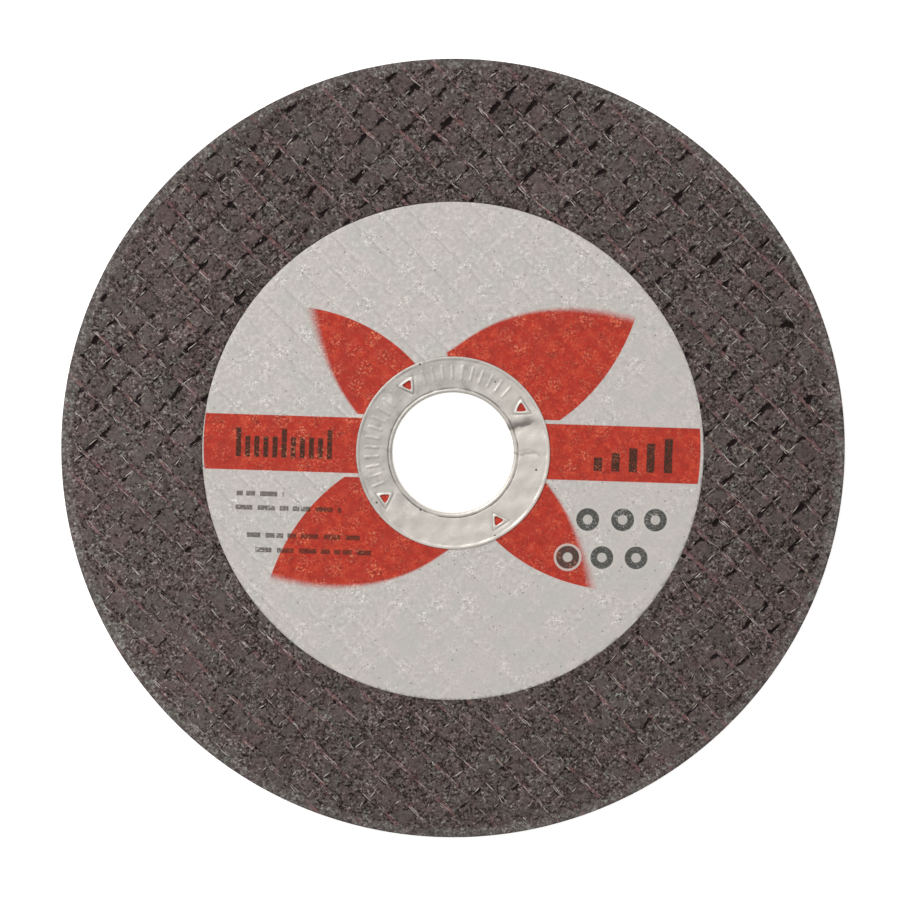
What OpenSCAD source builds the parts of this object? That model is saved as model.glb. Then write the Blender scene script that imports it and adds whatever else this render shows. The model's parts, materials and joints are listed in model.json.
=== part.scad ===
// Flat cut-off wheel for an angle grinder: a resin-bonded abrasive disc moulded over woven glass
// mesh, a printed paper label on its front face, and a sheet-metal ring that lines the bore.
// The wheel lies on its back face: the origin is on the bore axis at the lowest point, +Z is the
// spin axis and points out of the labelled face. All sizes are in millimetres.

/* [Wheel] */
// Outside diameter of the wheel
wheel_d = 105; // [90:1:130]
// Thickness of the wheel, measured over the glass threads of both faces
wheel_t = 1.2; // [1:0.1:3]

/* [Centre ring] */
// Bore of the ring: a 16 mm spindle with its clearance
bore_d = 16.2; // [15:0.1:17]
// Outside diameter of the ring's flange
ring_d = 26; // [25.5:0.5:32]
// Thickness of the ring's sheet metal
sheet_t = 0.2; // [0.15:0.05:0.3]
// Radius inside the bend from flange to collar
bend_inside_r = 0.15; // [0.1:0.05:0.3]
// Gap between the ring's collar and the wheel's own hole
collar_clearance = 0.05; // [0.02:0.01:0.1]

/* [Barbs] */
// Number of piercings round the flange
barb_count = 4; // [3:1:6]
// Diameter of the circle that the piercings lie on
barb_circle_d = 21.9; // [21:0.1:22.5]
// Angle of the first piercing from +X
barb_angle = 33.5; // [0:0.5:90]
// Side of each triangular piercing
barb_side = 1.5; // [1.2:0.1:1.8]
// Length left unbent at each corner of a piercing
barb_corner = 0.2; // [0.15:0.05:0.3]
// Gap round each barb where it bites into the label and the abrasive
bite_clearance = 0.03; // [0.01:0.01:0.05]

/* [Label] */
// Outside diameter of the paper label
label_d = 67.2; // [55:0.2:75]
// Thickness of the paper
label_t = 0.12; // [0.08:0.01:0.2]
// Gap round the label's edge in its seat
label_clearance = 0.05; // [0.02:0.01:0.1]

/* [Glass mesh] */
// Spacing of the threads: eight to the inch
thread_pitch = 3.175; // [2.5:0.025:4.5]
// Width of a thread that lies on the surface
thread_w = 0.45; // [0.3:0.05:0.6]
// How far a surface thread stands above the abrasive
thread_proud = 0.05; // [0.03:0.01:0.08]
// Direction of the surface threads from +X
thread_angle = 135; // [0:1:180]
// Band along the rim and the label that has no open gaps
plain_band = 0.8; // [0.5:0.1:3]
// Length of the gap that a crossing thread leaves in the face
gap_l = 1.6; // [1:0.1:2]
// Width of that gap
gap_w = 0.32; // [0.2:0.02:0.5]
// Depth of that gap
gap_depth = 0.16; // [0.08:0.02:0.2]
// Distance from a surface thread to the nearest gap
gap_from_thread = 0.1; // [0.05:0.05:0.25]
// The front face has one open gap to this many crossings
front_gap_every = 4; // [4:1:12]
// The back face has one open gap to this many crossings
back_gap_every = 7; // [7:1:14]

/* [Hidden] */
$fn = 96;

// Heights of the faces
back_z = thread_proud;
front_z = wheel_t - thread_proud;
label_seat_z = wheel_t - label_t;
flange_z = wheel_t;

// Radii of the ring, and of what sits round it
bore_r = bore_d / 2;
collar_r = bore_r + sheet_t;
bend_r = bend_inside_r + sheet_t;
flange_start_r = collar_r + bend_inside_r;
ring_r = ring_d / 2;
hole_r = collar_r + collar_clearance;
label_hole_r = flange_start_r + collar_clearance;

// The wheel's rim, the label's seat, and the threads counted from the middle to the rim
wheel_r = wheel_d / 2;
seat_r = label_d / 2 + label_clearance;
threads_each_side = ceil(wheel_r / thread_pitch);

// A triangular piercing: its inscribed radius is also how far each barb hangs below the flange
barb_inside_r = barb_side / (2 * sqrt(3));
barb_base = barb_side - 2 * barb_corner;

// Overlap that joins shapes, or takes a cut past a face
join = 0.05;

// Flat ring between two radii
module annulus(inner_r, outer_r) {
    difference() {
        circle(outer_r);
        circle(inner_r);
    }
}

// The low strips of abrasive between the surface threads, as bars to cut away from base_z upwards
module strips(base_z) {
    rotate(thread_angle)
        for (i = [-threads_each_side - 1 : threads_each_side])
            translate([0, (i + 0.5) * thread_pitch, base_z + (thread_proud + join) / 2])
                cube([2 * wheel_d, thread_pitch - thread_w, thread_proud + join], center = true);
}

// Middle of gap i in row j, in the mesh's own directions. The gaps follow the thread on one side
// in even rows and on the other side in odd rows, as the crossing threads twist round each other.
function gap_middle(i, j) =
    let (reach = thread_w / 2 + gap_from_thread + gap_l / 2)
    [j * thread_pitch, i * thread_pitch + (j % 2 == 0 ? reach : -reach)];

// Resin fills most crossings: this scatters the open ones, about one in every so many
function is_open(i, j, every) =
    let (a = i + threads_each_side, b = j + threads_each_side)
    (7 * a * a + 11 * b * b + 3 * a * b) % 31 * every < 31;

// Open gaps at the crossings, kept off the rim and off a middle radius, from base_z upwards
module gaps(middle_r, base_z, every) {
    rows = [-threads_each_side : threads_each_side];
    near = middle_r + plain_band + gap_l / 2;
    far = wheel_r - plain_band - gap_l / 2;
    rotate(thread_angle)
        for (i = rows, j = rows) {
            middle = gap_middle(i, j);
            if (is_open(i, j, every) && norm(middle) > near && norm(middle) < far)
                translate([middle.x, middle.y, base_z + (gap_depth + join) / 2])
                    cube([gap_w, gap_l, gap_depth + join], center = true);
        }
}

// Children at the middle of each side of each piercing, with +Y pointing out of the triangle
module at_barbs() {
    for (k = [0 : barb_count - 1])
        rotate(barb_angle + k * 360 / barb_count)
            translate([barb_circle_d / 2, 0])
                for (side = [0 : 2])
                    rotate(side * 120 - 90)
                        translate([0, barb_inside_r])
                            children();
}

// The three-cornered holes through the flange, each with one corner towards the bore
module piercings() {
    for (k = [0 : barb_count - 1])
        rotate(barb_angle + k * 360 / barb_count)
            translate([barb_circle_d / 2, 0, flange_z - join])
                rotate(180)
                    linear_extrude(sheet_t + 2 * join)
                        polygon([for (corner = [0 : 2])
                            2 * barb_inside_r * [cos(corner * 120), sin(corner * 120)]]);
}

// The pointed barbs, bent straight down from the sides of the piercings
module barbs() {
    at_barbs()
        translate([0, sheet_t, flange_z])
            rotate([90, 0, 0])
                linear_extrude(sheet_t)
                    polygon([
                        [-barb_base / 2, sheet_t / 2],
                        [-barb_base / 2, 0],
                        [0, -barb_inside_r],
                        [barb_base / 2, 0],
                        [barb_base / 2, sheet_t / 2],
                    ]);
}

// The cuts that the barbs press into what lies under the flange
module barb_bites() {
    depth = barb_inside_r + bite_clearance;
    at_barbs()
        translate([0, sheet_t / 2, flange_z + (join - depth) / 2])
            cube([barb_base + 2 * bite_clearance, sheet_t + 2 * bite_clearance, depth + join],
                 center = true);
}

// Moulded abrasive, with the glass threads proud of both faces and open gaps beside them
module abrasive_disc() {
    color("#574f4c")
        difference() {
            cylinder(r = wheel_r, h = wheel_t);
            strips(front_z);
            strips(back_z - thread_proud - join);
            gaps(seat_r, front_z - gap_depth, front_gap_every);
            gaps(hole_r, back_z - join, back_gap_every);
            // Hole for the ring's collar, with room for the bend at its front edge
            translate([0, 0, -join])
                cylinder(r = hole_r, h = wheel_t + 2 * join);
            translate([0, 0, label_seat_z - bend_inside_r])
                cylinder(r1 = hole_r, r2 = hole_r + bend_inside_r + join, h = bend_inside_r + join);
            // Seat for the label
            translate([0, 0, label_seat_z])
                cylinder(r = seat_r, h = label_t + join);
            barb_bites();
        }
}

// Printed paper label, moulded into the front face and held under the ring's flange
module paper_label() {
    color("#cbc8c3")
        difference() {
            translate([0, 0, label_seat_z])
                linear_extrude(label_t)
                    annulus(label_hole_r, label_d / 2);
            barb_bites();
        }
}

// Half section of the ring: collar, bend, flange and rounded edge
module ring_section() {
    translate([bore_r, back_z])
        square([sheet_t, flange_z - bend_inside_r - back_z]);
    intersection() {
        translate([flange_start_r, flange_z - bend_inside_r])
            annulus(bend_inside_r, bend_r);
        translate([bore_r, flange_z - bend_inside_r])
            square(bend_r);
    }
    translate([flange_start_r, flange_z])
        square([ring_r - sheet_t / 2 - flange_start_r, sheet_t]);
    translate([ring_r - sheet_t / 2, flange_z + sheet_t / 2])
        circle(sheet_t / 2);
}

// Sheet-metal ring: its collar lines the bore and its barbs bite into the wheel
module centre_ring() {
    color("#c9c8c5") {
        difference() {
            rotate_extrude() ring_section();
            piercings();
        }
        barbs();
    }
}

abrasive_disc();
paper_label();
centre_ring();
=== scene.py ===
# %% [markdown]
# This lesson dresses a flat cut-off wheel: a disc of grit and resin moulded over a woven glass mesh, with
# a paper label on its front face and a pressed metal ring in its bore. The solids come from the packed
# model, lie in metres with the bore along Z, and give every size that can be read from them.

import json
import math

import bmesh
import bpy
import numpy as np
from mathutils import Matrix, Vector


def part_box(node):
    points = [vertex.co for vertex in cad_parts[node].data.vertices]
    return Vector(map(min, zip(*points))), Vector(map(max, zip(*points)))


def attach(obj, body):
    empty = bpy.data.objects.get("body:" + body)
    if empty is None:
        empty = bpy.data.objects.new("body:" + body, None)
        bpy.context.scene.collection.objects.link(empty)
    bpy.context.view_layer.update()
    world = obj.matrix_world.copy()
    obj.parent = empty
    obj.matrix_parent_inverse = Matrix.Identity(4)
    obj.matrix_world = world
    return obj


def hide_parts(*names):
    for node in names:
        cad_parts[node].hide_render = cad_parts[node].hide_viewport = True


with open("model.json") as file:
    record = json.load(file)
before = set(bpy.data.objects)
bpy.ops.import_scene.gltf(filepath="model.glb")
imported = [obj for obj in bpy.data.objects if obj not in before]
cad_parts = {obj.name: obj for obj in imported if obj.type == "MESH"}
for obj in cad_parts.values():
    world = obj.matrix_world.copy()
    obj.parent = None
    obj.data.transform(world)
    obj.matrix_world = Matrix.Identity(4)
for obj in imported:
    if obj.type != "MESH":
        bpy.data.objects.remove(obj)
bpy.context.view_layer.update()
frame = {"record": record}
MM = 0.001


def corners(node):
    """Lowest and highest corner of a solid, in millimetres."""
    return tuple(np.array(corner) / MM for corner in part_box(node))


wheel_high = corners("abrasive_disc")[1]
label_low, label_high = corners("paper_label")
ring_low, ring_high = corners("centre_ring")
bore = next(m for m in frame["record"]["mounts"] if m["name"] == "bore")

WHEEL_R = wheel_high[0]
WHEEL_T = wheel_high[2]
LABEL_R = label_high[0]
SEAT_Z = label_low[2]
RING_R = ring_high[0]
BORE_R = bore["dims"]["r_mm"]
SHEET_T = ring_high[2] - label_high[2]
THREAD_PROUD = ring_low[2]
print(f"wheel {2 * WHEEL_R:.1f} x {WHEEL_T:.2f} mm, label {2 * LABEL_R:.1f} mm, ring {2 * RING_R:.1f} mm, "
      f"bore {2 * BORE_R:.1f} mm, sheet {SHEET_T:.2f} mm")

# %% [markdown]
# The rest of the sizes repeat those of the solids. The mesh has eight threads to the inch, and the threads
# that lie on the face run from upper left to lower right. The ring's bend and piercings are pressed in
# sheet metal.

# %% Sizes that the solids share
THREAD_PITCH = 3.175
THREAD_W = 0.45
THREAD_ANGLE = math.radians(135)
THREADS_EACH_SIDE = math.ceil(WHEEL_R / THREAD_PITCH)
GAP_L = 1.6
GAP_W = 0.32
GAP_DEPTH = 0.16
GAP_FROM_THREAD = 0.1
FRONT_GAP_EVERY = 4
BACK_GAP_EVERY = 7
PLAIN_BAND = 0.8
BEND_INSIDE_R = 0.15
CLEARANCE = 0.05
PIERCING_COUNT = 4
PIERCING_CIRCLE_R = 10.95
PIERCING_ANGLE = math.radians(33.5)
PIERCING_SIDE = 1.5
PIERCING_INSIDE_R = PIERCING_SIDE / (2 * math.sqrt(3))
BARB_CORNER = 0.2
BARB_BASE = PIERCING_SIDE - 2 * BARB_CORNER

FRONT_Z = WHEEL_T - THREAD_PROUD
BACK_Z = THREAD_PROUD
HOLE_R = BORE_R + SHEET_T + CLEARANCE
SEAT_R = LABEL_R + CLEARANCE
FLANGE_START_R = BORE_R + SHEET_T + BEND_INSIDE_R
LABEL_HOLE_R = FLANGE_START_R + CLEARANCE
print(f"{2 * THREADS_EACH_SIDE + 1} threads, seat {2 * SEAT_R:.1f} mm, hole {2 * HOLE_R:.1f} mm")

# %% [markdown]
# The photograph looks down on the wheel, but not quite straight. The outline is a little wider than it is
# tall, and the ring sits below its middle, as it does when the upper side is nearer to the lens. Both fit
# a camera that leans a few degrees towards +Y, with a long lens. The wheel's radius in pixels gives the
# distance, and the place of the bore in the picture is set by moving the camera sideways.

# %% Camera
PICTURE_PIXELS = 900
WHEEL_R_PIXELS = 391.85
BORE_RIGHT_PIXELS = 2.97
BORE_DOWN_PIXELS = 2.96
SENSOR_MM = 36.0
LENS_MM = 140.0
LEAN = math.radians(6.5)

mm_per_pixel = WHEEL_R / WHEEL_R_PIXELS
camera_distance = PICTURE_PIXELS * mm_per_pixel * LENS_MM / SENSOR_MM
backwards = np.array([0.0, math.sin(LEAN), math.cos(LEAN)])
rightwards = np.array([1.0, 0.0, 0.0])
upwards = np.array([0.0, math.cos(LEAN), -math.sin(LEAN)])
sideways = upwards * BORE_DOWN_PIXELS - rightwards * BORE_RIGHT_PIXELS

camera_data = bpy.data.cameras.new("camera")
camera_data.lens = LENS_MM
camera_data.sensor_width = SENSOR_MM
camera_data.clip_start = 0.01
camera = bpy.data.objects.new("camera", camera_data)
camera.location = (np.array([0, 0, WHEEL_T]) + backwards * camera_distance + sideways * mm_per_pixel) * MM
camera.rotation_euler = (-LEAN, 0.0, 0.0)
bpy.context.scene.collection.objects.link(camera)
bpy.context.scene.camera = camera
print(f"camera {camera_distance:.0f} mm from the face, {mm_per_pixel:.4f} mm to the pixel")

# %% [markdown]
# Every finish below is worked out by shader nodes. Wiring them by hand is long to read, so one small class
# wraps a socket: a sum, a product or a power of two of them adds the Math node that does it. All other
# nodes come from its node method, which sets a node's settings first and then its sockets.


# %% A socket that can be used in sums
class Wire:
    """A socket of a node tree that Python's operators work on."""

    def __init__(self, tree, socket=None):
        self.tree = tree
        self.socket = socket

    def node(self, kind, settings=None, sockets=None, out=0):
        """Adds a node: its settings first, then the values or links of its sockets."""
        made = self.tree.nodes.new(kind)
        for name, value in (settings or {}).items():
            if name == "stops":
                set_stops(made.color_ramp, value)
            else:
                setattr(made, name, value)
        for name, value in (sockets or {}).items():
            self.fill(pick(made.inputs, name), value)
        return Wire(self.tree, pick(made.outputs, out))

    def fill(self, socket, value):
        """Links a wire to a socket, or sets a plain value on it."""
        if isinstance(value, Wire):
            self.tree.links.new(value.socket, socket)
        elif socket.type == "RGBA":
            socket.default_value = (*value[:3], 1.0)
        else:
            socket.default_value = value

    def math(self, operation, *others):
        """A Math node with this wire first and the others after it."""
        values = dict(enumerate((self, *others)))
        return self.node("ShaderNodeMath", {"operation": operation}, values)

    def reflected(self, operation, first):
        """A Math node with a plain number first and this wire second."""
        return self.node("ShaderNodeMath", {"operation": operation}, {0: first, 1: self})

    def __add__(self, other):
        return self.math("ADD", other)

    def __sub__(self, other):
        return self.math("SUBTRACT", other)

    def __mul__(self, other):
        return self.math("MULTIPLY", other)

    def __truediv__(self, other):
        return self.math("DIVIDE", other)

    def __pow__(self, other):
        return self.math("POWER", other)

    __radd__ = __add__
    __rmul__ = __mul__

    def __rsub__(self, other):
        return self.reflected("SUBTRACT", other)

    def __rtruediv__(self, other):
        return self.reflected("DIVIDE", other)

    def __rpow__(self, other):
        return self.reflected("POWER", other)

    def __abs__(self):
        return self.math("ABSOLUTE")

    def rise(self, low, high):
        """0 below low and 1 above high, with a smooth step between them."""
        limits = {"Value": self, "From Min": low, "From Max": high}
        return self.node("ShaderNodeMapRange", {"interpolation_type": "SMOOTHSTEP"}, limits)

    def fall(self, low, high):
        """1 below low and 0 above high."""
        return 1 - self.rise(low, high)

    def mix(self, where_zero, where_one):
        """A colour between two others, with this wire as the factor."""
        colours = {"Factor": self, "A": where_zero, "B": where_one}
        return self.node("ShaderNodeMix", {"data_type": "RGBA"}, colours, out="Result")

    def scaled(self, factor):
        """A vector times a number."""
        return self.node("ShaderNodeVectorMath", {"operation": "SCALE"}, {0: self, "Scale": factor})

    def part(self, axis):
        """One component of a vector."""
        return self.node("ShaderNodeSeparateXYZ", sockets={0: self}, out=axis)

    def noise(self, per_mm, detail=2.0, roughness=0.5):
        """Noise at this place, with about this many lumps to the millimetre."""
        values = {"Vector": self, "Scale": per_mm, "Detail": detail, "Roughness": roughness}
        return self.node("ShaderNodeTexNoise", sockets=values, out="Fac")

    def grains(self, per_mm, out="Color"):
        """Cells of irregular grains, with about this many to the millimetre."""
        return self.node("ShaderNodeTexVoronoi", sockets={"Vector": self, "Scale": per_mm}, out=out)

    def field(self, name):
        """A number that the mesh stores at its points."""
        return self.node("ShaderNodeAttribute", {"attribute_name": name}, out="Fac")


def pick(sockets, name):
    """The socket with this number, or the first one in use with this name."""
    if isinstance(name, int):
        return sockets[name]
    return next(s for s in sockets if s.name == name and s.enabled)


def set_stops(ramp, stops):
    """Gives a colour ramp its stops: a list of positions and colours."""
    while len(ramp.elements) < len(stops):
        ramp.elements.new(1.0)
    for element, (position, colour) in zip(ramp.elements, stops):
        element.position = position
        element.color = (*colour, 1.0)


# %% [markdown]
# Colours are easier to judge as the numbers of a picture, from 0 to 255, so they are written that way and
# turned into the linear values that shaders work with. A finish starts as a Principled shader and a wire
# that holds the place on the object in millimetres. When its colour and grain are worked out, they are
# linked to the shader.


# %% Colours, and the start and end of a finish
def srgb(red, green, blue):
    """Linear colour from the numbers of a picture."""
    parts = [value / 255 for value in (red, green, blue)]
    return tuple(p / 12.92 if p <= 0.04045 else ((p + 0.055) / 1.055) ** 2.4 for p in parts)


def new_finish(name):
    """A material, and a wire with the place on the object in millimetres."""
    finish = bpy.data.materials.new(name)
    finish.use_nodes = True
    return finish, Wire(finish.node_tree).node("ShaderNodeTexCoord", out="Object").scaled(1 / MM)


def bump(height, strength, depth_mm):
    """A normal tilted by a height, for the grain that is too fine for the mesh."""
    values = {"Strength": strength, "Distance": depth_mm * MM, "Height": height}
    return height.node("ShaderNodeBump", sockets=values, out="Normal")


def dress(finish, sockets):
    """Sets or links the sockets of a finish's shader."""
    shader = finish.node_tree.nodes["Principled BSDF"]
    for name, value in sockets.items():
        Wire(finish.node_tree).fill(shader.inputs[name], value)
    print(f"{finish.name}: {len(finish.node_tree.nodes)} nodes")


# %% [markdown]
# The photograph has a white ground and light that comes from everywhere, a little more from the upper
# left. A pale floor that glows a little, like a light table, keeps shadows from greying the ground. It
# could be plain white, but a faint unevenness makes it look real.

# %% Floor
FLOOR_SIDE = 6.0
FLOOR_GLOW = 0.6

floor_finish, at = new_finish("pale_floor")
dress(floor_finish, {
    "Base Color": at.noise(0.01, 3.0).mix(srgb(243, 243, 243), srgb(247, 247, 247)),
    "Roughness": 0.9,
    "Emission Color": (1.0, 1.0, 1.0),
    "Emission Strength": FLOOR_GLOW,
})
floor_mesh = bpy.data.meshes.new("floor")
half = FLOOR_SIDE / 2
floor_corners = [(-half, -half, 0), (half, -half, 0), (half, half, 0), (-half, half, 0)]
floor_mesh.from_pydata(floor_corners, [], [(0, 1, 2, 3)])
floor_mesh.materials.append(floor_finish)
floor = bpy.data.objects.new("floor", floor_mesh)
bpy.context.scene.collection.objects.link(floor)

# %% [markdown]
# The light is a sky that is bright overhead and darker near the horizon, and one large soft lamp. The
# darker horizon matters for the metal ring: its bends mirror it, and show as fine dark lines.

# %% Sky and lamp
SKY_STRENGTH = 0.66
LAMP_WATTS = 4.8
LAMP_SIDE = 0.5
LAMP_PLACE = (-0.42, 0.46, 0.62)

sky = bpy.data.worlds.new("sky")
sky.use_nodes = True
bpy.context.scene.world = sky
sky_height = Wire(sky.node_tree).node("ShaderNodeTexCoord", out="Generated").part("Z")
sky_colour = sky_height.rise(0.0, 0.75).mix(srgb(150, 152, 156), srgb(255, 254, 252))
background = sky.node_tree.nodes["Background"].inputs
sky_colour.fill(background["Color"], sky_colour)
background["Strength"].default_value = SKY_STRENGTH

lamp_data = bpy.data.lights.new("soft_lamp", "AREA")
lamp_data.size = LAMP_SIDE
lamp_data.energy = LAMP_WATTS
lamp = bpy.data.objects.new("soft_lamp", lamp_data)
lamp.location = LAMP_PLACE
lamp.rotation_euler = (-lamp.location).to_track_quat("-Z", "Y").to_euler()
bpy.context.scene.collection.objects.link(lamp)
bpy.context.scene.view_settings.view_transform = "Standard"
print("stage: floor, sky and one soft lamp")

# %% [markdown]
# The abrasive, the paper over it and the back all take their relief from the same woven mesh, so they are
# made in the mesh's own directions: along the threads that lie on the face, and across them. A grid whose
# lines fall on the edges of threads and gaps shows them crisply with few faces. A slow drift of about a
# tenth of a millimetre bends it all, because no mesh is laid down perfectly straight.


# %% The mesh's own directions
def turned(x, y, angle):
    """X and Y of a place that is turned about the axis: of numbers, arrays or wires."""
    cos, sin = math.cos(angle), math.sin(angle)
    return x * cos - y * sin, x * sin + y * cos


def on_wheel(along, across):
    """X and Y of a place given in the mesh's directions."""
    return turned(along, across, THREAD_ANGLE)


def drift(along, across):
    """Where a place of a straight mesh ends up in the real one, in the mesh's directions."""
    stray_along = 0.10 * np.sin(0.34 * across + 1.1) + 0.06 * np.sin(0.55 * along - 0.23 * across + 0.4)
    stray_across = 0.10 * np.sin(0.29 * along + 2.3) + 0.05 * np.sin(0.49 * across + 0.31 * along + 5.0)
    return along + stray_along, across + stray_across


def stations(marks, reach):
    """Grid lines that repeat with the threads, out to a reach on both sides."""
    count = math.ceil(reach / THREAD_PITCH) + 1
    lines = [k * THREAD_PITCH + mark for k in range(-count, count + 1) for mark in marks]
    return np.array(sorted(lines))


def step_up(value, low, high):
    """0 below low, 1 above high, and a smooth step between."""
    t = np.clip((value - low) / (high - low), 0, 1)
    return t * t * (3 - 2 * t)


def bell(value, middle, half):
    """1 in the middle, and falling away smoothly on both sides."""
    return np.exp(-((value - middle) / half) ** 2)


# %% [markdown]
# Resin fills most crossings of the threads. Where it doesn't, a short dark gap is left, and those gaps are
# what the eye catches first. The deepest ones are where the solids have them, so the rule that scatters
# them is the solids' own.

# %% Where the solids have gaps
TABLE_SIDE = 2 * THREADS_EACH_SIDE + 5
TABLE_MIDDLE = TABLE_SIDE // 2


def open_gaps(thread, row, every, middle_r):
    """Where the solids have an open gap, by thread and by crossing row."""
    a, b = thread + THREADS_EACH_SIDE, row + THREADS_EACH_SIDE
    scattered = (7 * a * a + 11 * b * b + 3 * a * b) % 31 * every < 31
    reach = THREAD_W / 2 + GAP_FROM_THREAD + GAP_L / 2
    across = thread * THREAD_PITCH + np.where(row % 2 == 0, reach, -reach)
    from_axis = np.hypot(row * THREAD_PITCH, across)
    near = middle_r + PLAIN_BAND + GAP_L / 2
    far = WHEEL_R - PLAIN_BAND - GAP_L / 2
    return scattered & (from_axis > near) & (from_axis < far)


# %% [markdown]
# The other gaps are shallower cracks, drawn from a seeded table. All of them are wider on the upper side
# of the wheel. Each square of abrasive between the threads is also pressed a little differently: it has
# its own height, tilt, tone and smoothness. The threads stand up as round ridges, with a sunk flank on
# each side, and faint sunk seams run where the crossing threads lie below. Gaps, flanks and seams are
# marked for the painted shade of the finish.

# %% Tables of gaps and squares
OPEN_SIDE = math.radians(75)
GAP_EDGE = (-0.06, 0.10)
GAP_DARK_REACH = 0.5
HOOK_FROM_END = 0.1
HOOK_NARROWER = 0.75
FAR_AWAY = 99.0
RIDGE_HALF = 0.34
SEAM_HALF = 0.26
FLANK_OUT = 0.30
FLANK_HALF = 0.13
FLANK_DARK = 0.35
DARK_SUNK = 0.09


class Weave:
    """What one face of the abrasive looks like, square by square."""

    def __init__(self, seed, every, middle_r):
        draw = self.random = np.random.default_rng(seed)
        size = (TABLE_SIDE, TABLE_SIDE)
        thread, row = np.indices(size) - TABLE_MIDDLE
        x, y = on_wheel(row * THREAD_PITCH, thread * THREAD_PITCH)
        openness = self.openness = step_up(0.5 + 0.5 * np.cos(np.arctan2(y, x) - OPEN_SIDE), 0.0, 0.6)
        is_open = self.open = open_gaps(thread, row, every, middle_r)
        cracked = is_open | (draw.random(size) < 0.15 + 0.5 * openness)
        crack_half = draw.uniform(0.03, 0.12, size) + 0.17 * openness * draw.random(size)
        closed_half = draw.uniform(-0.24, -0.02, size)
        gap_half = GAP_W / 2 * (0.2 + 0.9 * openness) + 0.15 * openness * draw.random(size)
        self.half_width = np.where(is_open, gap_half, np.where(cracked, crack_half, closed_half))
        gap_length = GAP_L * draw.uniform(0.7, 1.4, size)
        self.length = np.where(is_open, gap_length, draw.uniform(0.45, 1.5, size))
        crack_depth = np.where(cracked, draw.uniform(0.4, 0.9, size), 0.2)
        self.depth = np.where(is_open, 0.5 + 0.5 * openness, crack_depth)
        self.shift = np.where(is_open, 0.0, draw.normal(0.0, 0.12, size))
        self.slant = draw.normal(0, 0.09, size)
        self.taper = draw.uniform(-0.9, 0.5, size)
        self.hook = np.where(draw.random(size) < 0.25, draw.uniform(0.3, 1.0, size), 0.0)
        self.height = draw.normal(0, 0.014, size)
        self.tilt_along = draw.normal(0.004, 0.012, size)
        self.tilt_across = draw.normal(0, 0.012, size)
        self.tone = draw.normal(0, 1, size)
        self.smooth = draw.random(size)

    def hollow(self, along, across):
        """Distance to the nearest gap or crack, less than 0 inside it, and how deep that one is."""
        row = np.round(along / THREAD_PITCH).astype(int)
        from_row = along - row * THREAD_PITCH
        column = np.floor(across / THREAD_PITCH).astype(int)
        from_thread = across - column * THREAD_PITCH
        even = row % 2 == 0
        spot = (np.where(even, column, column + 1) + TABLE_MIDDLE, row + TABLE_MIDDLE)
        length, hook = self.length[spot], self.hook[spot]
        u = np.where(even, from_thread, THREAD_PITCH - from_thread)
        u = u - THREAD_W / 2 - GAP_FROM_THREAD - self.shift[spot]
        v = from_row - self.slant[spot] * (u - length / 2)
        half_width = self.half_width[spot] * (1 + self.taper[spot] * (u / length - 0.5))
        slit = np.maximum.reduce([np.abs(v) - half_width, -u, u - length])
        hooked = np.maximum.reduce([np.abs(u - HOOK_FROM_END) - HOOK_NARROWER * half_width, v, -v - hook])
        return np.minimum(slit, np.where(hook > 0, hooked, FAR_AWAY)), self.depth[spot]

    def relief(self, along, across):
        """Height over the plain face, and what the finish needs to know, at each place."""
        column = np.floor(across / THREAD_PITCH).astype(int)
        square_row = np.floor(along / THREAD_PITCH).astype(int)
        square = (column + TABLE_MIDDLE, square_row + TABLE_MIDDLE)
        from_thread = across - column * THREAD_PITCH
        from_line = np.minimum(from_thread, THREAD_PITCH - from_thread)
        from_row = along - np.round(along / THREAD_PITCH) * THREAD_PITCH
        outside, depth = self.hollow(along, across)
        sunk = 1 - step_up(outside, *GAP_EDGE)
        seam = (0.29 + 0.12 * self.openness[square]) * bell(from_row, 0.0, SEAM_HALF)
        flank = FLANK_DARK * bell(from_line, FLANK_OUT, FLANK_HALF)

        ridge = np.clip(1 - (from_line / RIDGE_HALF) ** 2, 0, 1)
        tilt = self.tilt_along[square] * (along - (square_row + 0.5) * THREAD_PITCH)
        tilt = tilt + self.tilt_across[square] * (from_thread - THREAD_PITCH / 2)
        height = self.height[square] + tilt + THREAD_PROUD * ridge
        height = height - GAP_DEPTH * depth * sunk - DARK_SUNK * (seam + flank) * (1 - ridge)
        # The gap field marks painted shade: near the gaps, in the seams and on the flanks of the threads.
        near_gap = np.clip(0.5 - outside / GAP_DARK_REACH, 0, 1)
        return {
            "height": height,
            "gap": np.maximum.reduce([near_gap, seam, flank]),
            "tone": self.tone[square],
            "smooth": self.smooth[square] * (1 - ridge) * (1 - 2 * np.maximum(seam, flank)),
            "thread": ridge,
        }


front_weave = Weave(seed=7, every=FRONT_GAP_EVERY, middle_r=SEAT_R)
back_weave = Weave(seed=8, every=BACK_GAP_EVERY, middle_r=HOLE_R)
print(f"open gaps: {int(front_weave.open.sum())} in front, {int(back_weave.open.sum())} behind")

# %% [markdown]
# The grids are square and the wheel is round, so each grid is trimmed to the ring between two circles: a
# face that crosses a circle is cut along it, with the new points exactly on the circle. A boolean could do
# it too, but would lose the numbers stored at the points.

# %% Trimming a grid to a ring
SNAP = 0.05
ON_CIRCLE = 1e-6


def snapped(x, y, radii):
    """Moves points that lie very near a circle onto it, so that no slivers are cut."""
    r = np.hypot(x, y)
    for radius in radii:
        near = np.abs(r - radius) < SNAP
        x = np.where(near, x * radius / r, x)
        y = np.where(near, y * radius / r, y)
        r = np.where(near, radius, r)
    return x, y, r


def crossing(p, q, radius):
    """How far along the line from p to q the circle is met."""
    step = q - p
    a, b, c = step @ step, 2 * p @ step, p @ p - radius * radius
    root = math.sqrt(max(b * b - 4 * a * c, 0))
    ways = [(-b - root) / (2 * a), (-b + root) / (2 * a)]
    return min(ways, key=lambda t: abs(t - 0.5))


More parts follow.
